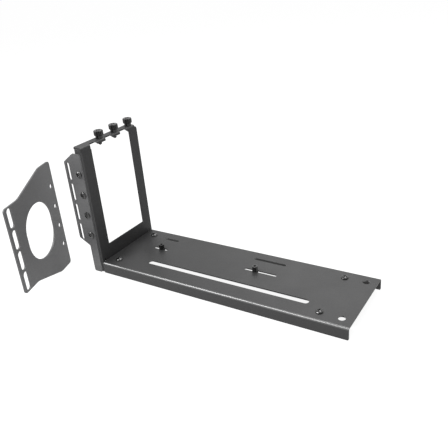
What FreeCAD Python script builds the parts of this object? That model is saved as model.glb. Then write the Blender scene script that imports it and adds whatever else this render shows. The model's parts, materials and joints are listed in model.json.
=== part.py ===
import FreeCAD, Part
import math
import os
from types import SimpleNamespace

import Sketcher

# Graphics card support bracket: a folded tray with an upright folded frame at its left end.
# Millimetres, +Z up, +X along the tray away from the frame, +Y towards the back.
# The sizes are written from a datum: X = 0 at the frame wall's right face, Y = 0 at the
# frame's front face and Z = 0 on the floor. The origin is the bottom centre of the whole part.
SIZES = {
    # Standard pitch of expansion slots, shared by the frame and both plates
    "slot_pitch": 20.32,
    # Folded frame
    "frame_sheet": 1.2,
    "frame_bend": 0.6,
    "frame_depth": 77.1,
    "frame_height": 125.5,
    "front_flange_width": 10.5,
    "front_flange_neck": 7.6,
    "neck_drop": 11.2,
    "top_flange_width": 9.3,
    "top_flange_front_gap": 0.2,
    "frame_corner": 2.5,
    "window_front_post": 13.1,
    "window_rear_post": 11.3,
    "window_bottom": 24.3,
    "window_corner": 0.8,
    # Rail of hooked teeth along the top of the window
    "rail_screw_back": 6.96,
    "rail_screw_inset": 4.3,
    "tooth_bottom_drop": 3.0,
    "tooth_before_screw": 7.0,
    "tooth_after_screw": 3.4,
    "arch_radius": 8.8,
    "arch_run_out": 0.2,
    # Tab of the frame under the tray
    "tab_front": 5.0,
    "tab_back_gap": 5.0,
    "tab_reach": 22.0,
    "tab_relief": 1.0,
    "tab_relief_height": 1.6,
    # Tray
    "tray_sheet": 1.2,
    "tray_bend": 1.0,
    "tray_gap": 1.5,
    "tray_length": 246.0,
    "tray_height": 10.9,
    "tray_corner": 1.0,
    "tray_front_step": 1.0,
    "long_slot_start": 40.9,
    "long_slot_end": 41.0,
    "long_slot_width": 6.0,
    "long_slot_y": 19.3,
    "short_slot_start": 27.5,
    "short_slot_length": 16.0,
    "middle_slot_start": 130.5,
    "middle_slot_length": 32.8,
    "cross_slot_width": 3.0,
    "middle_slot_inset": 32.2,
    "back_slot_inset": 13.0,
    "open_hole_diameter": 6.2,
    "open_hole_inset": 9.4,
    "open_hole_edge": 10.7,
    "tray_screw_left": 10.9,
    "tray_screw_right": 28.1,
    "tray_screw_inset": 11.4,
    # Short plate in front of the frame
    "plate_sheet": 1.5,
    "short_plate_edge": 1.2,
    "short_plate_leg": 9.3,
    "short_plate_wing": 12.0,
    "short_plate_drop": 5.7,
    "short_plate_top_flat": 9.3,
    "short_wing_slope": 8.7,
    "short_wing_height": 77.0,
    "short_wing_root_slope": 6.6,
    "short_plate_corner": 1.5,
    "short_slot_inset": 4.1,
    "short_slot_width": 3.4,
    "short_slot_long": 17.2,
    "short_slot_drop": 9.0,
    "plate_screw_inset": 4.6,
    "plate_screw_drop": 24.8,
    # Long plate that stands by itself
    "long_plate_width": 81.3,
    "long_plate_height": 108.1,
    "long_plate_low_end": 81.5,
    "long_low_flat": 22.3,
    "long_tall_flat": 19.0,
    "long_ramp_blend": 20.0,
    "long_plate_corner": 3.0,
    "long_slot_inset": 6.5,
    "long_slot_across": 6.4,
    "long_slot_tall": 18.3,
    "long_hole_inset": 5.0,
    "long_hole_diameter": 4.5,
    "oval_offset": 2.7,
    "oval_radius": 22.0,
    "oval_straight": 9.4,
    "long_plate_x": -20.4,
    "long_plate_y": -75.7,
    "long_plate_turn": 108.7,
    # Thumbscrews
    "thumb_shank_diameter": 3.5,
    "thumb_shank_length": 6.8,
    "thumb_point": 1.4,
    "thumb_collar_diameter": 6.8,
    "thumb_collar_height": 2.7,
    "thumb_head_diameter": 8.8,
    "thumb_head_height": 4.8,
    "thumb_head_edge": 0.5,
    "knurl_depth": 0.5,
    "knurl_width": 0.9,
    "thumb_recess_width": 1.1,
    "thumb_recess_span": 5.2,
    "thumb_recess_depth": 1.6,
    # Screws of the plate and the tray, their nuts and the hexagonal standoffs
    "screw_diameter": 3.0,
    "screw_clearance": 0.2,
    "pan_head_diameter": 6.2,
    "pan_head_height": 2.1,
    "pan_head_edge": 0.8,
    "pan_recess_width": 0.8,
    "pan_recess_span": 3.4,
    "pan_recess_depth": 1.0,
    "screw_tip": 0.4,
    "plate_screw_length": 4.0,
    "tray_screw_length": 5.0,
    "nut_across_flats": 5.5,
    "nut_height": 2.4,
    "standoff_left": 36.6,
    "standoff_right": 141.5,
    "standoff_across_flats": 5.0,
    "standoff_height": 5.0,
    "standoff_stud_length": 4.4,
    "standoff_bore": 2.5,
    "standoff_bore_depth": 4.0,
    "hex_chamfer": 0.4,
}

SLOTS_PER_PLATE = 4
RAIL_SCREWS = 3
KNURL_COUNT = 18


class Length:
    """A number that also carries the sheet expression that gives it."""

    def __init__(self, text, value):
        self.text = text
        self.value = value

    def __add__(self, other):
        other = as_length(other)
        return Length(f"({self.text} + {other.text})", self.value + other.value)

    def __sub__(self, other):
        other = as_length(other)
        return Length(f"({self.text} - {other.text})", self.value - other.value)

    def __mul__(self, other):
        other = as_length(other)
        return Length(f"({self.text} * {other.text})", self.value * other.value)

    def __truediv__(self, other):
        other = as_length(other)
        return Length(f"({self.text} / {other.text})", self.value / other.value)

    def __neg__(self):
        return Length(f"(0 - {self.text})", -self.value)


def as_length(item):
    if isinstance(item, Length):
        return item
    return Length(f"({float(item)})", float(item))


def square_root(item):
    return Length(f"sqrt({item.text})", math.sqrt(item.value))


def cosine(angle):
    return Length(f"cos({angle.text} * 1 deg)", math.cos(math.radians(angle.value)))


def sine(angle):
    return Length(f"sin({angle.text} * 1 deg)", math.sin(math.radians(angle.value)))


doc = FreeCAD.newDocument("card_support_bracket")
sheet = doc.addObject("Spreadsheet::Sheet", "Sizes")
for row, (name, number) in enumerate(SIZES.items(), 1):
    sheet.set(f"A{row}", name)
    sheet.set(f"B{row}", str(number))
    sheet.setAlias(f"B{row}", name)
doc.recompute()
S = SimpleNamespace(**{name: Length(f"Sizes.{name}", number) for name, number in SIZES.items()})

# Places that several pieces share
ZERO = as_length(0)
frame_outer_bend = S.frame_bend + S.frame_sheet
tray_outer_bend = S.tray_bend + S.tray_sheet
window_back = S.frame_depth - S.window_rear_post
front_flange_top = S.frame_height - frame_outer_bend
tooth_bottom = S.frame_height - S.tooth_bottom_drop
tray_underside = S.tray_height - S.tray_sheet
tab_back = S.frame_depth - S.tab_back_gap
rail_screw_last = S.frame_depth - S.rail_screw_back
rail_screw_y = [rail_screw_last - S.slot_pitch * k for k in reversed(range(RAIL_SCREWS))]
plate_screw_x = -(S.short_plate_edge + S.plate_screw_inset)
plate_screw_first = S.frame_height - S.plate_screw_drop
plate_screw_z = [plate_screw_first - S.slot_pitch * k for k in range(SLOTS_PER_PLATE)]
part_right = S.tray_gap + S.tray_length
tray_front = -S.tray_front_step
tray_screw_y = {
    "front": tray_front + S.tray_screw_inset,
    "back": S.frame_depth - S.tray_screw_inset,
}
tray_screw_x = {"left": S.tray_gap + S.tray_screw_left, "right": part_right - S.tray_screw_right}
standoff_x = {"left": S.tray_gap + S.standoff_left, "right": S.tray_gap + S.standoff_right}
standoff_y = S.frame_depth - S.middle_slot_inset

# The far corner of the long plate and the tray's right end bound the part along X,
# the long plate's near edge and the tray's back bound it along Y.
part_left = (
    S.long_plate_x
    + S.long_plate_width * cosine(S.long_plate_turn)
    - S.plate_sheet * sine(S.long_plate_turn)
)
part_front = S.long_plate_y + S.plate_sheet * cosine(S.long_plate_turn)
origin_x = (part_left + part_right) / 2
origin_y = (part_front + S.frame_depth) / 2

# Sketch plane of each name, and the sign of its normal along the third axis
PLANES = {"XY": ("XY_Plane", 1), "XZ": ("XZ_Plane", -1), "YZ": ("YZ_Plane", 1)}
HALF_TURN = "half turn"


def new_body(label, x=ZERO, y=ZERO, z=ZERO, rotation=None):
    """A body whose zero lies at a place given from the datum."""
    body = doc.addObject("PartDesign::Body", label)
    body.Label = label
    if rotation:
        body.Placement = FreeCAD.Placement(FreeCAD.Vector(), rotation)
    body.setExpression("Placement.Base.x", (x - origin_x).text)
    body.setExpression("Placement.Base.y", (y - origin_y).text)
    body.setExpression("Placement.Base.z", z.text)
    return body


def bind(sketch, kind, where, length):
    number = sketch.addConstraint(Sketcher.Constraint(kind, *where, length.value))
    sketch.setExpression(f"Constraints[{number}]", length.text)


def bind_point(sketch, geometry, point, x, y):
    bind(sketch, "DistanceX", (-1, 1, geometry, point), x)
    bind(sketch, "DistanceY", (-1, 1, geometry, point), y)


def new_sketch(body, name, plane, level):
    role, sense = PLANES[plane]
    support = [item for item in body.Origin.OriginFeatures if item.Role == role][0]
    sketch = body.newObject("Sketcher::SketchObject", name)
    sketch.AttachmentSupport = [(support, "")]
    sketch.MapMode = "FlatFace"
    sketch.setExpression("AttachmentOffset.Base.z", (level * sense).text)
    return sketch


def add_circle(sketch, x, y, diameter):
    centre = FreeCAD.Vector(x.value, y.value, 0)
    circle = Part.Circle(centre, FreeCAD.Vector(0, 0, 1), diameter.value / 2)
    geometry = sketch.addGeometry(circle)
    bind(sketch, "Diameter", (geometry,), diameter)
    bind_point(sketch, geometry, 3, x, y)


def arc_between(start, end, radius, turn):
    """Arc of less than half a turn, with turn +1 to the left and -1 to the right."""
    chord = end - start
    middle = (start + end) / 2
    rise = math.sqrt(max(radius**2 - (chord.Length / 2) ** 2, 0))
    left = FreeCAD.Vector(-chord.y, chord.x, 0).normalize()
    centre = middle + left * (rise * turn)
    first, last = (start, end) if turn > 0 else (end, start)
    circle = Part.Circle(centre, FreeCAD.Vector(0, 0, 1), radius)
    return Part.ArcOfCircle(circle, circle.parameter(first), circle.parameter(last))


def add_loop(sketch, corners):
    """Closed outline. A corner is (x, y), or (x, y, radius, turn) or (x, y, HALF_TURN) before an arc."""
    points = [FreeCAD.Vector(corner[0].value, corner[1].value, 0) for corner in corners]
    ends = []
    for index, corner in enumerate(corners):
        start = points[index]
        end = points[(index + 1) % len(points)]
        if len(corner) == 2:
            geometry = sketch.addGeometry(Part.LineSegment(start, end))
            ends.append((geometry, 1, 2))
        elif corner[2] == HALF_TURN:
            arc = arc_between(start, end, (end - start).Length / 2, 1)
            geometry = sketch.addGeometry(arc)
            ends.append((geometry, 1, 2))
        else:
            radius, turn = corner[2:]
            arc = arc_between(start, end, radius.value, turn)
            geometry = sketch.addGeometry(arc)
            ends.append((geometry, 1, 2) if turn > 0 else (geometry, 2, 1))
    for index, (geometry, first, last) in enumerate(ends):
        following, its_first, _ = ends[(index + 1) % len(ends)]
        sketch.addConstraint(Sketcher.Constraint("Coincident", geometry, last, following, its_first))
    for corner, (geometry, first, last) in zip(corners, ends):
        bind_point(sketch, geometry, first, corner[0], corner[1])
    for index, (corner, (geometry, first, last)) in enumerate(zip(corners, ends)):
        if len(corner) == 4:
            bind(sketch, "Radius", (geometry,), corner[2])
        elif len(corner) == 3:
            chord = points[(index + 1) % len(points)] - points[index]
            if abs(chord.x) < abs(chord.y):
                bind(sketch, "DistanceX", (-1, 1, geometry, 3), corner[0])
            else:
                bind(sketch, "DistanceY", (-1, 1, geometry, 3), corner[1])


def slot_loop(low, high, middle, width, upright=False):
    """Outline of a round-ended slot between two ends, across at its middle line."""
    radius = width / 2
    if upright:
        return [
            (middle + radius, low + radius),
            (middle + radius, high - radius, HALF_TURN),
            (middle - radius, high - radius),
            (middle - radius, low + radius, HALF_TURN),
        ]
    return [
        (low + radius, middle - radius),
        (high - radius, middle - radius, HALF_TURN),
        (high - radius, middle + radius),
        (low + radius, middle + radius, HALF_TURN),
    ]


def hexagon_loop(across_flats):
    """Hexagon about the sketch's centre with two corners along its first axis."""
    half = across_flats / 2
    corner = across_flats / math.sqrt(3)
    return [
        (corner, ZERO),
        (corner / 2, half),
        (-(corner / 2), half),
        (-corner, ZERO),
        (-(corner / 2), -half),
        (corner / 2, -half),
    ]


def rectangle_loop(left, right, low, high):
    return [(left, low), (right, low), (right, high), (left, high)]


def extrude(body, kind, name, plane, level, depth, loops=(), circles=()):
    """Pad or pocket of a sketch from its level towards the positive third axis."""
    sketch = new_sketch(body, f"{name}_sketch", plane, level)
    for loop in loops:
        add_loop(sketch, loop)
    for circle in circles:
        add_circle(sketch, *circle)
    doc.recompute()
    before = body.Shape.Volume if body.Tip else 0
    feature = body.newObject(f"PartDesign::{kind}", name)
    feature.Profile = sketch
    feature.setExpression("Length", depth.text)
    towards_normal = PLANES[plane][1] > 0
    feature.Reversed = towards_normal if kind == "Pocket" else not towards_normal
    doc.recompute()
    if kind == "Pocket" and not body.Shape.Volume < before:
        raise ValueError(f"{body.Label}: {name} cuts nothing")
    return feature


def pad(body, name, plane, level, depth, **drawing):
    return extrude(body, "Pad", name, plane, level, depth, **drawing)


def pocket(body, name, plane, level, depth, **drawing):
    return extrude(body, "Pocket", name, plane, level, depth, **drawing)


def revolve(body, name, corners):
    """Solid of revolution about Z of an outline given as (radius, height)."""
    sketch = new_sketch(body, f"{name}_sketch", "XZ", ZERO)
    add_loop(sketch, corners)
    doc.recompute()
    feature = body.newObject("PartDesign::Revolution", name)
    feature.Profile = sketch
    feature.ReferenceAxis = (sketch, ["V_Axis"])
    doc.recompute()
    return feature


def row_pattern(body, name, original, spacing, count, axis="V_Axis"):
    """Copies of a feature along one axis of its sketch."""
    pattern = body.newObject("PartDesign::LinearPattern", name)
    pattern.Originals = [original]
    pattern.Direction = (original.Profile[0], [axis])
    pattern.Occurrences = count
    pattern.setExpression("Length", (spacing * (count - 1)).text)
    body.Tip = pattern
    doc.recompute()
    return pattern


def round_corners(body, name, radius, axis, corners):
    """Fillet on the edges along one axis that pass through the given corners."""
    doc.recompute()
    base = body.Tip
    others = [index for index in range(3) if index != "XYZ".index(axis)]
    names = []
    for number, edge in enumerate(base.Shape.Edges, 1):
        ends = [vertex.Point for vertex in edge.Vertexes]
        for corner in corners:
            apart = [
                abs(end[other] - place.value) for end in ends for other, place in zip(others, corner)
            ]
            if len(ends) == 2 and max(apart) < 0.01:
                names.append(f"Edge{number}")
    fillet = body.newObject("PartDesign::Fillet", name)
    fillet.Base = (base, names)
    fillet.setExpression("Radius", radius.text)
    doc.recompute()
    return fillet


def fold_loop(flange, reach, sheet_size, outer_bend):
    """L section of a folded sheet with its outer corner at zero: flange to -x, wall to +y."""
    inner_bend = outer_bend - sheet_size
    return [
        (-flange, ZERO),
        (-outer_bend, ZERO, outer_bend, 1),
        (ZERO, outer_bend),
        (ZERO, reach),
        (-sheet_size, reach),
        (-sheet_size, outer_bend, inner_bend, -1),
        (-outer_bend, sheet_size),
        (-flange, sheet_size),
    ]


def make_io_frame():
    """Upright frame folded from one sheet, with its window, rail of teeth, flanges and tab."""
    body = new_body("io_frame")
    sheet_size = S.frame_sheet
    bend = frame_outer_bend
    pad(
        body, "front_fold", "XY", ZERO, front_flange_top,
        loops=[fold_loop(S.front_flange_width, S.frame_depth, sheet_size, bend)],
    )
    round_corners(body, "rear_corner", S.frame_corner, "X", [(S.frame_depth, front_flange_top)])

    top_start = S.top_flange_front_gap
    top_end = S.frame_depth - S.frame_corner
    height = S.frame_height
    wall_overlap = tooth_bottom - bend
    pad(
        body, "top_fold", "XZ", top_start, top_end - top_start,
        loops=[[
            (-S.top_flange_width, height - sheet_size),
            (-bend, height - sheet_size, S.frame_bend, -1),
            (-sheet_size, height - bend),
            (-sheet_size, wall_overlap),
            (ZERO, wall_overlap),
            (ZERO, height - bend, bend, 1),
            (-bend, height),
            (-S.top_flange_width, height),
        ]],
    )

    # The legs stand on the floor and the wall between them folds into the tab.
    relief_top = S.tray_height + S.tab_relief_height
    relief = rectangle_loop(S.tab_front - S.tab_relief, tab_back + S.tab_relief, -bend, relief_top)
    pocket(body, "leg_gap", "YZ", -sheet_size, sheet_size, loops=[relief])
    tab_top = tray_underside
    tab_under = tab_top - sheet_size
    tab_centre = S.frame_bend
    pad(
        body, "tab", "XZ", S.tab_front, tab_back - S.tab_front,
        loops=[[
            (-sheet_size, relief_top + bend),
            (-sheet_size, tab_under + bend, bend, 1),
            (tab_centre, tab_under),
            (S.tab_reach, tab_under),
            (S.tab_reach, tab_top),
            (tab_centre, tab_top, S.frame_bend, -1),
            (ZERO, tab_under + bend),
            (ZERO, relief_top + bend),
        ]],
    )
    round_corners(
        body, "tab_corners", S.frame_corner, "Z",
        [(S.tab_reach, S.tab_front), (S.tab_reach, tab_back)],
    )

    window = rectangle_loop(S.window_front_post, window_back, S.window_bottom, tooth_bottom)
    pocket(body, "window", "YZ", -sheet_size, sheet_size, loops=[window])
    round_corners(body, "window_corners", S.window_corner, "X", window[:2])
    arch_top = height + S.arch_run_out
    arch_fall = arch_top - tooth_bottom
    arch_run = square_root(arch_fall * (S.arch_radius * 2 - arch_fall))
    arch_start = rail_screw_y[0] - S.slot_pitch + S.tooth_after_screw
    arch_end = rail_screw_y[0] - S.tooth_before_screw
    arch = [
        (arch_start, wall_overlap),
        (arch_end, wall_overlap),
        (arch_end, tooth_bottom, S.arch_radius, 1),
        (arch_end - arch_run, arch_top),
        (arch_start, arch_top),
    ]
    first = pocket(body, "arch", "YZ", -bend, bend, loops=[arch])
    row_pattern(body, "arches", first, S.slot_pitch, RAIL_SCREWS, "H_Axis")

    neck_width = S.front_flange_width - S.front_flange_neck
    neck = rectangle_loop(
        -S.front_flange_width - neck_width,
        -S.front_flange_neck,
        height - S.neck_drop,
        height,
    )
    pocket(body, "neck", "XZ", ZERO, sheet_size, loops=[neck])

    screw_holes = [(-S.rail_screw_inset, y, S.thumb_shank_diameter) for y in rail_screw_y]
    pocket(body, "rail_holes", "XY", height - sheet_size, sheet_size, circles=screw_holes)
    plate_holes = [(plate_screw_x, z, S.screw_diameter) for z in plate_screw_z]
    pocket(body, "plate_holes", "XZ", ZERO, sheet_size, circles=plate_holes)
    tab_holes = [(tray_screw_x["left"], y, S.screw_diameter) for y in tray_screw_y.values()]
    pocket(body, "tab_holes", "XY", tab_under, sheet_size, circles=tab_holes)
    return body


def make_base_tray():
    """Tray folded from one sheet: a flat top with a flange down each long side."""
    body = new_body("base_tray", x=S.tray_gap)
    sheet_size = S.tray_sheet
    bend = tray_outer_bend
    front = tray_front
    depth = S.frame_depth
    height = S.tray_height
    pad(
        body, "channel", "YZ", ZERO, S.tray_length,
        loops=[[
            (front, ZERO),
            (front + sheet_size, ZERO),
            (front + sheet_size, height - bend, S.tray_bend, -1),
            (front + bend, height - sheet_size),
            (depth - bend, height - sheet_size, S.tray_bend, -1),
            (depth - sheet_size, height - bend),
            (depth - sheet_size, ZERO),
            (depth, ZERO),
            (depth, height - bend, bend, 1),
            (depth - bend, height),
            (front + bend, height, bend, 1),
            (front, height - bend),
        ]],
    )
    round_corners(
        body, "flange_corners", S.tray_corner, "Y",
        [(ZERO, ZERO), (S.tray_length, ZERO)],
    )
    long_end = S.tray_length - S.long_slot_end
    slots = [slot_loop(S.long_slot_start, long_end, S.long_slot_y, S.long_slot_width)]
    short_end = S.short_slot_start + S.short_slot_length
    middle_end = S.middle_slot_start + S.middle_slot_length
    for y in (standoff_y, depth - S.back_slot_inset):
        slots.append(slot_loop(S.short_slot_start, short_end, y, S.cross_slot_width))
        slots.append(slot_loop(S.middle_slot_start, middle_end, y, S.cross_slot_width))
    pocket(body, "slots", "XY", tray_underside, sheet_size, loops=slots)
    holes = []
    for y in (front + S.open_hole_edge, depth - S.open_hole_edge):
        holes.append((S.tray_length - S.open_hole_inset, y, S.open_hole_diameter))
    for y in tray_screw_y.values():
        for x in (S.tray_screw_left, S.tray_length - S.tray_screw_right):
            holes.append((x, y, S.screw_diameter + S.screw_clearance * 2))
    pocket(body, "holes", "XY", tray_underside, sheet_size, circles=holes)
    return body


def make_short_slot_plate():
    """Flat plate with one wing, screwed to the front of the frame."""
    body = new_body("short_slot_plate", x=-S.short_plate_edge)
    wing_left = -(S.short_plate_leg + S.short_plate_wing)
    leg_left = -S.short_plate_leg
    plate_top = S.frame_height - S.short_plate_drop
    wing_top = plate_top - S.short_wing_slope
    wing_bottom = wing_top - S.short_wing_height
    outline = [
        (leg_left, ZERO),
        (ZERO, ZERO),
        (ZERO, plate_top),
        (-S.short_plate_top_flat, plate_top),
        (wing_left, wing_top),
        (wing_left, wing_bottom),
        (leg_left, wing_bottom - S.short_wing_root_slope),
    ]
    pad(body, "plate", "XZ", -S.plate_sheet, S.plate_sheet, loops=[outline])
    round_corners(body, "corners", S.short_plate_corner, "Y", outline)
    slot_x = wing_left + S.short_slot_inset
    half = S.short_slot_long / 2
    lowest = wing_top - S.short_slot_drop - S.slot_pitch * (SLOTS_PER_PLATE - 1)
    slot = slot_loop(lowest - half, lowest + half, slot_x, S.short_slot_width, upright=True)
    first = pocket(body, "slot", "XZ", -S.plate_sheet, S.plate_sheet, loops=[slot])
    row_pattern(body, "slot_row", first, S.slot_pitch, SLOTS_PER_PLATE)
    hole_size = S.screw_diameter + S.screw_clearance * 2
    hole = (-S.plate_screw_inset, plate_screw_z[-1], hole_size)
    first = pocket(body, "screw_hole", "XZ", -S.plate_sheet, S.plate_sheet, circles=[hole])
    row_pattern(body, "screw_hole_row", first, S.slot_pitch, SLOTS_PER_PLATE)
    return body


def make_long_slot_plate():
    """Loose plate that widens towards its holes and has a large oval window."""
    upright = FreeCAD.Rotation(FreeCAD.Vector(0, 0, 1), SIZES["long_plate_turn"])
    body = new_body("long_slot_plate", x=S.long_plate_x, y=S.long_plate_y, rotation=upright)
    body.setExpression("Placement.Rotation.Angle", S.long_plate_turn.text)
    width = S.long_plate_width
    height = S.long_plate_height
    middle = height / 2
    half_low = S.long_plate_low_end / 2
    outline = [
        (ZERO, middle - half_low),
        (S.long_low_flat, middle - half_low),
        (width - S.long_tall_flat, ZERO),
        (width, ZERO),
        (width, height),
        (width - S.long_tall_flat, height),
        (S.long_low_flat, middle + half_low),
        (ZERO, middle + half_low),
    ]
    pad(body, "plate", "XZ", ZERO, S.plate_sheet, loops=[outline])
    round_corners(body, "ramp_blends", S.long_ramp_blend, "Y", outline[1:3] + outline[5:7])
    round_corners(body, "corners", S.long_plate_corner, "Y", [outline[0], outline[7]] + outline[3:5])
    half_straight = S.oval_straight / 2
    hole_x = width - S.long_hole_inset
    oval = slot_loop(
        middle - half_straight - S.oval_radius,
        middle + half_straight + S.oval_radius,
        (S.long_slot_inset + hole_x) / 2 + S.oval_offset,
        S.oval_radius * 2,
        upright=True,
    )
    pocket(body, "oval", "XZ", ZERO, S.plate_sheet, loops=[oval])
    lowest = middle - S.slot_pitch * (SLOTS_PER_PLATE - 1) / 2
    half = S.long_slot_tall / 2
    slot = slot_loop(lowest - half, lowest + half, S.long_slot_inset, S.long_slot_across, upright=True)
    first = pocket(body, "slot", "XZ", ZERO, S.plate_sheet, loops=[slot])
    row_pattern(body, "slot_row", first, S.slot_pitch, SLOTS_PER_PLATE)
    hole = (hole_x, lowest, S.long_hole_diameter)
    first = pocket(body, "hole", "XZ", ZERO, S.plate_sheet, circles=[hole])
    row_pattern(body, "hole_row", first, S.slot_pitch, SLOTS_PER_PLATE)
    return body


def cross_loop(width, span):
    """Outline of a cross recess about the sketch's centre."""
    thin = width / 2
    far = span / 2
    return [
        (far, -thin),
        (far, thin),
        (thin, thin),
        (thin, far),
        (-thin, far),
        (-thin, thin),
        (-far, thin),
        (-far, -thin),
        (-thin, -thin),
        (-thin, -far),
        (thin, -far),
        (thin, -thin),
    ]


def make_thumbscrew(label, x, y, z):
    """Knurled screw that seats with its collar on the height z."""
    body = new_body(label, x=x, y=y, z=z)
    shank = S.thumb_shank_diameter / 2
    collar = S.thumb_collar_diameter / 2
    head = S.thumb_head_diameter / 2
    head_top = S.thumb_collar_height + S.thumb_head_height
    edge = S.thumb_head_edge
    revolve(body, "turned", [
        (ZERO, -S.thumb_shank_length),
        (shank, S.thumb_point - S.thumb_shank_length),
        (shank, ZERO),
        (collar, ZERO),
        (collar, S.thumb_collar_height),
        (head - edge, S.thumb_collar_height),
        (head, S.thumb_collar_height + edge),
        (head, head_top - edge),
        (head - edge, head_top),
        (ZERO, head_top),
    ])
    groove = [
        (head - S.knurl_depth, ZERO),
        (head + S.knurl_depth, -S.knurl_width),
        (head + S.knurl_depth, S.knurl_width),
    ]
    first = pocket(
        body, "knurl_groove", "XY", S.thumb_collar_height, S.thumb_head_height, loops=[groove]
    )
    knurl = body.newObject("PartDesign::PolarPattern", "knurl")
    knurl.Originals = [first]
    knurl.Axis = (first.Profile[0], ["N_Axis"])
    knurl.Angle = 360
    knurl.Occurrences = KNURL_COUNT
    body.Tip = knurl
    recess = cross_loop(S.thumb_recess_width, S.thumb_recess_span)
    pocket(
        body, "recess", "XY", head_top - S.thumb_recess_depth, S.thumb_recess_depth, loops=[recess]
    )
    return body


def make_pan_screw(label, length, x, y, z, rotation=None):
    """Pan head screw whose head seats on its own zero and whose shank runs down from it."""
    body = new_body(label, x=x, y=y, z=z, rotation=rotation)
    shank = S.screw_diameter / 2
    head = S.pan_head_diameter / 2
    rise = S.pan_head_height - S.pan_head_edge
    dome = (head * head + rise * rise) / (rise * 2)
    revolve(body, "turned", [
        (ZERO, -length),
        (shank - S.screw_tip, -length),
        (shank, S.screw_tip - length),
        (shank, ZERO),
        (head, ZERO),
        (head, S.pan_head_edge, dome, 1),
        (ZERO, S.pan_head_height),
    ])
    recess = cross_loop(S.pan_recess_width, S.pan_recess_span)
    floor_level = S.pan_head_height - S.pan_recess_depth
    pocket(body, "recess", "XY", floor_level, S.pan_recess_depth, loops=[recess])
    return body


def bevel_hexagon(body, name, across_flats, top):
    """Turned bevel that takes the corners off the top of a hexagon."""
    corner = across_flats / math.sqrt(3)
    flat = across_flats / 2
    sketch = new_sketch(body, f"{name}_sketch", "XZ", ZERO)
    add_loop(sketch, [
        (flat, top + S.hex_chamfer),
        (flat, top),
        (corner + S.hex_chamfer, top - (corner + S.hex_chamfer - flat) / math.sqrt(3)),
        (corner + S.hex_chamfer, top + S.hex_chamfer),
    ])
    doc.recompute()
    bevel = body.newObject("PartDesign::Groove", name)
    bevel.Profile = sketch
    bevel.ReferenceAxis = (sketch, ["V_Axis"])
    doc.recompute()
    return bevel


def make_nut(label, x, y):
    """Hexagonal nut against the underside of the tray."""
    body = new_body(label, x=x, y=y, z=tray_underside - S.nut_height)
    bore = (ZERO, ZERO, S.screw_diameter)
    pad(
        body, "hexagon", "XY", ZERO, S.nut_height,
        loops=[hexagon_loop(S.nut_across_flats)], circles=[bore],
    )
    bevel_hexagon(body, "bevel", S.nut_across_flats, S.nut_height)
    return body


def make_standoff(label, x, y):
    """Hexagonal standoff on the tray, with its stud through the slot and a bore in its top."""
    body = new_body(label, x=x, y=y, z=S.tray_height)
    pad(
        body, "hexagon", "XY", ZERO, S.standoff_height,
        loops=[hexagon_loop(S.standoff_across_flats)],
    )
    bevel_hexagon(body, "bevel", S.standoff_across_flats, S.standoff_height)
    pad(
        body, "stud", "XY", -S.standoff_stud_length, S.standoff_stud_length,
        circles=[(ZERO, ZERO, S.screw_diameter)],
    )
    floor_level = S.standoff_height - S.standoff_bore_depth
    pocket(
        body, "bore", "XY", floor_level, S.standoff_bore_depth,
        circles=[(ZERO, ZERO, S.standoff_bore)],
    )
    return body


def make_all():
    bodies = [
        make_base_tray(),
        make_io_frame(),
        make_short_slot_plate(),
        make_long_slot_plate(),
    ]
    for number, y in enumerate(rail_screw_y, 1):
        bodies.append(make_thumbscrew(f"thumbscrew_{number}", -S.rail_screw_inset, y, S.frame_height))
    facing_front = FreeCAD.Rotation(FreeCAD.Vector(1, 0, 0), 90)
    for number, z in enumerate(plate_screw_z, 1):
        bodies.append(make_pan_screw(
            f"plate_screw_{number}", S.plate_screw_length,
            plate_screw_x, -S.plate_sheet, z, facing_front,
        ))
    for side, x in tray_screw_x.items():
        for row, y in tray_screw_y.items():
            label = f"tray_screw_{row}_{side}"
            bodies.append(make_pan_screw(label, S.tray_screw_length, x, y, S.tray_height))
            if side == "right":
                bodies.append(make_nut(f"tray_nut_{row}_{side}", x, y))
    for side, x in standoff_x.items():
        bodies.append(make_standoff(f"riser_standoff_{side}", x, standoff_y))
        bodies.append(make_nut(f"riser_nut_{side}", x, standoff_y))
    return bodies


def check(bodies):
    """Stop before writing when any object failed or any solid is unsound."""
    doc.recompute()
    for item in doc.Objects:
        if "Invalid" in item.State or "Error" in item.State:
            raise ValueError(f"{item.Label} failed: {item.State}")
    for body in bodies:
        solid = body.Shape
        if solid.isNull() or not solid.isValid() or len(solid.Solids) != 1:
            raise ValueError(f"{body.Label} is not one sound solid")


def write(bodies):
    os.makedirs("parts", exist_ok=True)
    for body in bodies:
        body.Shape.exportStep(f"parts/{body.Label}.step")
        box = body.Shape.BoundBox
        print(
            f"{body.Label}: volume {body.Shape.Volume:.1f}"
            f" x {box.XMin:.2f} {box.XMax:.2f} y {box.YMin:.2f} {box.YMax:.2f}"
            f" z {box.ZMin:.2f} {box.ZMax:.2f}"
        )


def main():
    bodies = make_all()
    check(bodies)
    write(bodies)


main()
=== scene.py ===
import json
import math

import bpy
from mathutils import Matrix, Vector


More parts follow.
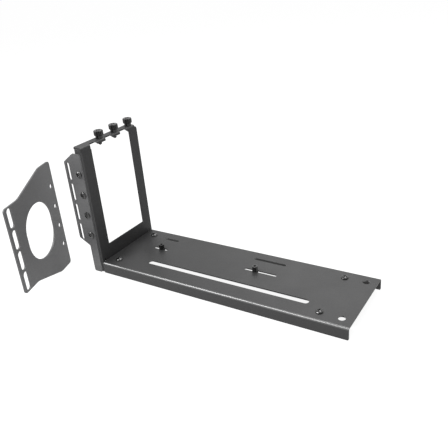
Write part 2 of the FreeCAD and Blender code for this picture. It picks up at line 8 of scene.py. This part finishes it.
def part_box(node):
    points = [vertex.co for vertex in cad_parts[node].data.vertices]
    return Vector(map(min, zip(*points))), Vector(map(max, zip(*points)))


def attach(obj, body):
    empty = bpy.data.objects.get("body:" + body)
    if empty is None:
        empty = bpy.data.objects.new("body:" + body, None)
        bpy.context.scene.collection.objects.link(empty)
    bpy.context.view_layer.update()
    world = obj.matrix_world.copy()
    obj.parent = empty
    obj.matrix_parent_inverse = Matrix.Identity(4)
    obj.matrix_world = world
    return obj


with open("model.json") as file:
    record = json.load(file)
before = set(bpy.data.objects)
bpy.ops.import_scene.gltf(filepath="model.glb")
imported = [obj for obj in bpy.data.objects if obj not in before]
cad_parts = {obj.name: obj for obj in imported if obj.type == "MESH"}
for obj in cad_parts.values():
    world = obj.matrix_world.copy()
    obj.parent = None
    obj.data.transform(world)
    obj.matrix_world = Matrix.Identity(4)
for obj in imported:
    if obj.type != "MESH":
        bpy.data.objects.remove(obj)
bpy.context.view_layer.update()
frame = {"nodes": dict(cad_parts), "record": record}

# Lengths are in metres. Places that are written in mm are multiplied by MM where they are used.
MM = 0.001
scene = bpy.context.scene

# The datum is the frame wall's right face, its front flange's face and the floor.
TRAY_GAP = 1.5 * MM
TRAY_FRONT_STEP = 1.0 * MM
tray_low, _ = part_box("base_tray")
datum = Vector((tray_low[0] - TRAY_GAP, tray_low[1] + TRAY_FRONT_STEP, 0))

# Camera, as fitted to the photograph, its place from the datum
CAMERA_PLACE = Vector((365.8, -333.5, 272.8)) * MM
CAMERA_AZIMUTH = math.radians(33.63)
CAMERA_ELEVATION = math.radians(25.88)
CAMERA_ROLL = math.radians(-5.07)
CAMERA_LENS_MM = 45.54
CAMERA_CLIP_START = 0.01
SENSOR_MM = 36.0

# Noise: the middle band that is stretched over a whole range
NOISE_LOW = 0.3
NOISE_HIGH = 0.7
EDGE_SAMPLES = 6

# Powder coat: scale and detail of each noise
GRAIN = (2600.0, 3.0)
PEEL = (700.0, 2.0)
CLOUD = (35.0, 4.0)
BLUE_TINT = 1.02
MATT_SWING = 0.05
FILM_ROUGHNESS = 0.33
FILM_IOR = 1.8
ROUGH_ON_BENDS = 0.3
SHEET_EDGE_RADIUS = 0.25 * MM
PEEL_STRENGTH = 0.5
PEEL_DEPTH = 0.05 * MM
GRAIN_STRENGTH = 0.35
GRAIN_DEPTH = 0.02 * MM

# Largest part of a unit normal along one axis: below the first a bend, above the second a flat face
BEND_SQUARENESS = 0.94
FLAT_SQUARENESS = 0.995

# Black plating of the screws and nuts
SMEAR = (900.0, 3.0)
GLOSS_SWING = 0.06
SCREW_EDGE_RADIUS = 0.2 * MM
SMEAR_STRENGTH = 0.1
SMEAR_DEPTH = 0.02 * MM

# Bead in the folded corner under the top flange, from the datum in mm
SEAM_LEFT = -9.1
SEAM_RIGHT = -1.4
SEAM_FRONT = 0.25
SEAM_BACK = 1.15
SEAM_LOW = 123.72
SEAM_HIGH = 124.28
SEAM_STATIONS = 11
SEAM_FLUTE_DEPTH = 0.14
SEAM_FLUTE_HALF = 0.1
SEAM_END_FALL = 0.35
SEAM_END_POWER = 6
# Depth in mm of each ripple, and the radians that it turns along the bead
SEAM_RIPPLES = ((0.03, 9), (0.02, 23))

WHITE = (1, 1, 1, 1)
FLOOR_HALF = 30.0
FLOOR_DROP = 0.02 * MM
FLOOR_BOUNCE = 0.8
FLOOR_GLOW = 0.92
FLOOR_SHADE = 0.16
WORLD_LIGHT = 0.45
WORLD_SEEN = 1.0

# Name, place and target from the datum in mm, width and height in mm, and power in watts
LAMPS = (
    ("key", (-650, -470, 650), (90, 20, 30), 550, 550, 7.2),
    ("spark", (-360, -400, 800), (60, 20, 50), 110, 110, 1.8),
    ("side", (40, -260, 420), (20, -90, 0), 200, 120, 1.0),
    ("top", (230, 300, 900), (150, 30, 0), 700, 500, 4.6),
    ("sheen", (-60, 690, 540), (210, 20, 10), 400, 300, 0.5),
)


def add_camera():
    """Camera at the fitted place, which the render is taken from."""
    data = bpy.data.cameras.new("camera")
    data.lens = CAMERA_LENS_MM
    data.sensor_width = SENSOR_MM
    data.clip_start = CAMERA_CLIP_START
    camera = bpy.data.objects.new("camera", data)
    scene.collection.objects.link(camera)
    turn = (
        Matrix.Rotation(CAMERA_AZIMUTH, 4, "Z")
        @ Matrix.Rotation(math.pi / 2 - CAMERA_ELEVATION, 4, "X")
        @ Matrix.Rotation(CAMERA_ROLL, 4, "Z")
    )
    camera.matrix_world = Matrix.Translation(datum + CAMERA_PLACE) @ turn
    scene.camera = camera


def new_material(name):
    """A new material, with its nodes, its links and its shader."""
    material = bpy.data.materials.new(name)
    material.use_nodes = True
    nodes = material.node_tree.nodes
    return material, nodes, material.node_tree.links, nodes["Principled BSDF"]


def noise(nodes, links, place, scale, detail):
    """Noise over the object's own coordinates."""
    texture = nodes.new("ShaderNodeTexNoise")
    texture.inputs["Scale"].default_value = scale
    texture.inputs["Detail"].default_value = detail
    links.new(place.outputs["Object"], texture.inputs["Vector"])
    return texture.outputs["Fac"]


def spread(nodes, links, value, low, high, start=NOISE_LOW, stop=NOISE_HIGH):
    """The value, with start to stop stretched over low to high."""
    level = nodes.new("ShaderNodeMapRange")
    level.inputs["From Min"].default_value = start
    level.inputs["From Max"].default_value = stop
    level.inputs["To Min"].default_value = low
    level.inputs["To Max"].default_value = high
    links.new(value, level.inputs["Value"])
    return level.outputs["Result"]


def largest(nodes, links, first, *others):
    """The largest of several values."""
    for other in others:
        pick = nodes.new("ShaderNodeMath")
        pick.operation = "MAXIMUM"
        links.new(first, pick.inputs[0])
        links.new(other, pick.inputs[1])
        first = pick.outputs[0]
    return first


def soft_edge(nodes, radius):
    """Normal that rounds the edges."""
    edge = nodes.new("ShaderNodeBevel")
    edge.samples = EDGE_SAMPLES
    edge.inputs["Radius"].default_value = radius
    return edge.outputs["Normal"]


def bump(nodes, links, height, normal, strength, depth):
    """The normal, roughened by a height."""
    relief = nodes.new("ShaderNodeBump")
    relief.inputs["Strength"].default_value = strength
    relief.inputs["Distance"].default_value = depth
    links.new(height, relief.inputs["Height"])
    links.new(normal, relief.inputs["Normal"])
    return relief.outputs["Normal"]


def bend_mask(nodes, links, most):
    """The most on the bends of sheet that lies square to the axes, zero on its flat faces."""
    shape = nodes.new("ShaderNodeNewGeometry")
    positive = nodes.new("ShaderNodeVectorMath")
    positive.operation = "ABSOLUTE"
    links.new(shape.outputs["Normal"], positive.inputs[0])
    axes = nodes.new("ShaderNodeSeparateXYZ")
    links.new(positive.outputs["Vector"], axes.inputs["Vector"])
    squareness = largest(nodes, links, axes.outputs["X"], axes.outputs["Y"], axes.outputs["Z"])
    return spread(nodes, links, squareness, most, 0.0, BEND_SQUARENESS, FLAT_SQUARENESS)


def powder_coat(name, dark, light, rough, film_on_bends, specular):
    """Matt powder coat: grain, orange peel and uneven gloss, and a smooth film on the bends."""
    material, nodes, links, shader = new_material(name)
    shader.inputs["Specular IOR Level"].default_value = specular
    shader.inputs["Coat Roughness"].default_value = FILM_ROUGHNESS
    shader.inputs["Coat IOR"].default_value = FILM_IOR
    place = nodes.new("ShaderNodeTexCoord")
    grain = noise(nodes, links, place, *GRAIN)
    peel = noise(nodes, links, place, *PEEL)
    cloud = noise(nodes, links, place, *CLOUD)

    tone = nodes.new("ShaderNodeValToRGB")
    stops = zip(tone.color_ramp.elements, (NOISE_LOW, NOISE_HIGH), (dark, light))
    for stop, position, grey in stops:
        stop.position = position
        stop.color = (grey, grey, grey * BLUE_TINT, 1)
    links.new(grain, tone.inputs["Fac"])
    links.new(tone.outputs["Color"], shader.inputs["Base Color"])

    matt = spread(nodes, links, cloud, rough - MATT_SWING, rough + MATT_SWING)
    if film_on_bends:
        bends = bend_mask(nodes, links, film_on_bends)
        links.new(bends, shader.inputs["Coat Weight"])
        blend = nodes.new("ShaderNodeMapRange")
        links.new(bends, blend.inputs["Value"])
        links.new(matt, blend.inputs["To Min"])
        blend.inputs["To Max"].default_value = ROUGH_ON_BENDS
        links.new(blend.outputs["Result"], shader.inputs["Roughness"])
    else:
        links.new(matt, shader.inputs["Roughness"])

    edge = soft_edge(nodes, SHEET_EDGE_RADIUS)
    coarse = bump(nodes, links, peel, edge, PEEL_STRENGTH, PEEL_DEPTH)
    fine = bump(nodes, links, grain, coarse, GRAIN_STRENGTH, GRAIN_DEPTH)
    links.new(fine, shader.inputs["Normal"])
    return material


def black_plating(name, grey, rough, specular):
    """Glossy black finish of the screws and nuts, slightly smeared."""
    material, nodes, links, shader = new_material(name)
    shader.inputs["Specular IOR Level"].default_value = specular
    shader.inputs["Base Color"].default_value = (grey, grey, grey, 1)
    place = nodes.new("ShaderNodeTexCoord")
    smear = noise(nodes, links, place, *SMEAR)
    gloss = spread(nodes, links, smear, rough - GLOSS_SWING, rough + GLOSS_SWING, 0.0, 1.0)
    links.new(gloss, shader.inputs["Roughness"])
    edge = soft_edge(nodes, SCREW_EDGE_RADIUS)
    relief = bump(nodes, links, smear, edge, SMEAR_STRENGTH, SMEAR_DEPTH)
    links.new(relief, shader.inputs["Normal"])
    return material


def dress(node, material):
    """Give every material slot of a CAD node the better material."""
    for slot in frame["nodes"][node].material_slots:
        slot.material = material


def paint_nodes():
    """Finish every CAD node, and return the frame's coat."""
    finishes = {
        "black_sheet": powder_coat(
            "black_powder_coat", dark=0.012, light=0.028, rough=0.43, film_on_bends=1.0, specular=0.45
        ),
        "black_screw": black_plating("black_screw_finish", grey=0.004, rough=0.15, specular=0.9),
        "black_nut": black_plating("black_nut_finish", grey=0.006, rough=0.2, specular=0.5),
    }
    thumbscrew_finish = black_plating(
        "black_thumbscrew_finish", grey=0.004, rough=0.13, specular=0.45
    )
    for part in frame["record"]["subparts"]:
        is_thumbscrew = part["node"].startswith("thumbscrew")
        finish = thumbscrew_finish if is_thumbscrew else finishes[part["material_slot"]]
        dress(part["node"], finish)
    frame_coat = powder_coat(
        "dark_powder_coat", dark=0.018, light=0.040, rough=0.5, film_on_bends=0.3, specular=0.22
    )
    dress("io_frame", frame_coat)
    # Lighter grey coat of the two plates: partly their own lighter tone, and partly painted light. It
    # is a lighter copy of the black coat that stands in for the brighter light falling on the plates.
    plate_coat_with_painted_light = powder_coat(
        "grey_coat_with_painted_light", dark=0.055, light=0.112, rough=0.45, film_on_bends=0.0, specular=0.5
    )
    dress("short_slot_plate", plate_coat_with_painted_light)
    dress("long_slot_plate", plate_coat_with_painted_light)
    return frame_coat


def seam_ring(along):
    """Outline of the bead across its length, at a share of its length, from the datum in mm."""
    x = SEAM_LEFT + (SEAM_RIGHT - SEAM_LEFT) * along
    end_fall = SEAM_END_FALL * abs(2 * along - 1) ** SEAM_END_POWER
    ripple = sum(depth * math.sin(turn * along) for depth, turn in SEAM_RIPPLES)
    front = SEAM_FRONT + end_fall + ripple
    middle = (SEAM_LOW + SEAM_HIGH) / 2
    return [
        (x, front, SEAM_LOW),
        (x, front + SEAM_FLUTE_DEPTH, middle - SEAM_FLUTE_HALF),
        (x, front + SEAM_FLUTE_DEPTH, middle + SEAM_FLUTE_HALF),
        (x, front, SEAM_HIGH),
        (x, SEAM_BACK, SEAM_HIGH),
        (x, SEAM_BACK, SEAM_LOW),
    ]


def add_corner_seam(coat):
    """Bead of coat that closes the folded corner between the front flange and the top flange."""
    rings = [seam_ring(station / (SEAM_STATIONS - 1)) for station in range(SEAM_STATIONS)]
    count = len(rings[0])
    points = [datum + Vector(point) * MM for ring in rings for point in ring]
    faces = [tuple(range(count)), tuple(reversed(range(len(points) - count, len(points))))]
    for start in range(0, len(points) - count, count):
        for side in range(count):
            after = (side + 1) % count
            faces.append((start + side, start + count + side, start + count + after, start + after))
    mesh = bpy.data.meshes.new("corner_seam")
    mesh.from_pydata(points, [], faces)
    mesh.materials.append(coat)
    seam = bpy.data.objects.new("corner_seam", mesh)
    scene.collection.objects.link(seam)
    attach(seam, "root")


def seen_rays(nodes, links):
    """One for rays that show the background: to the camera, in gloss, and through clear things."""
    rays = nodes.new("ShaderNodeLightPath")
    kinds = ("Is Camera Ray", "Is Glossy Ray", "Is Transmission Ray")
    return largest(nodes, links, *(rays.outputs[kind] for kind in kinds))


def level_between(nodes, links, switch, hidden, seen):
    """A level that is one value for hidden rays and another for the rays that show the background."""
    return spread(nodes, links, switch, hidden, seen, 0.0, 1.0)


def add_floor():
    """Pale floor that shows white, with the object's shadow as a faint grey."""
    mesh = bpy.data.meshes.new("floor")
    corners = [
        (-FLOOR_HALF, -FLOOR_HALF, 0),
        (FLOOR_HALF, -FLOOR_HALF, 0),
        (FLOOR_HALF, FLOOR_HALF, 0),
        (-FLOOR_HALF, FLOOR_HALF, 0),
    ]
    mesh.from_pydata(corners, [], [(0, 1, 2, 3)])
    floor = bpy.data.objects.new("floor", mesh)
    floor.location.z = -FLOOR_DROP
    scene.collection.objects.link(floor)
    material, nodes, links, shader = new_material("floor_white")
    nodes.remove(shader)
    seen = seen_rays(nodes, links)
    matt = nodes.new("ShaderNodeBsdfDiffuse")
    shade = level_between(nodes, links, seen, FLOOR_BOUNCE, FLOOR_SHADE)
    links.new(shade, matt.inputs["Color"])
    glow = nodes.new("ShaderNodeEmission")
    links.new(level_between(nodes, links, seen, 0.0, FLOOR_GLOW), glow.inputs["Strength"])
    both = nodes.new("ShaderNodeAddShader")
    links.new(matt.outputs[0], both.inputs[0])
    links.new(glow.outputs[0], both.inputs[1])
    links.new(both.outputs[0], nodes["Material Output"].inputs["Surface"])
    mesh.materials.append(material)


def add_world():
    """Surroundings that are white to the eye and in gloss, and light the object less."""
    world = bpy.data.worlds.new("surroundings")
    scene.world = world
    world.use_nodes = True
    nodes = world.node_tree.nodes
    links = world.node_tree.links
    back = nodes["Background"]
    back.inputs["Color"].default_value = WHITE
    seen = seen_rays(nodes, links)
    strength = level_between(nodes, links, seen, WORLD_LIGHT, WORLD_SEEN)
    links.new(strength, back.inputs["Strength"])


def add_lamp(name, place, target, width, height, power):
    """Soft rectangular lamp from a place towards a target, hidden from the camera."""
    data = bpy.data.lights.new(name, "AREA")
    data.shape = "RECTANGLE"
    data.size = width * MM
    data.size_y = height * MM
    data.energy = power
    lamp = bpy.data.objects.new(name, data)
    scene.collection.objects.link(lamp)
    start = datum + Vector(place) * MM
    aim = datum + Vector(target) * MM - start
    turn = aim.to_track_quat("-Z", "Y").to_matrix().to_4x4()
    lamp.matrix_world = Matrix.Translation(start) @ turn
    lamp.visible_camera = False


scene.view_settings.view_transform = "Standard"
add_camera()
add_corner_seam(paint_nodes())
add_floor()
add_world()
for lamp_row in LAMPS:
    add_lamp(*lamp_row)
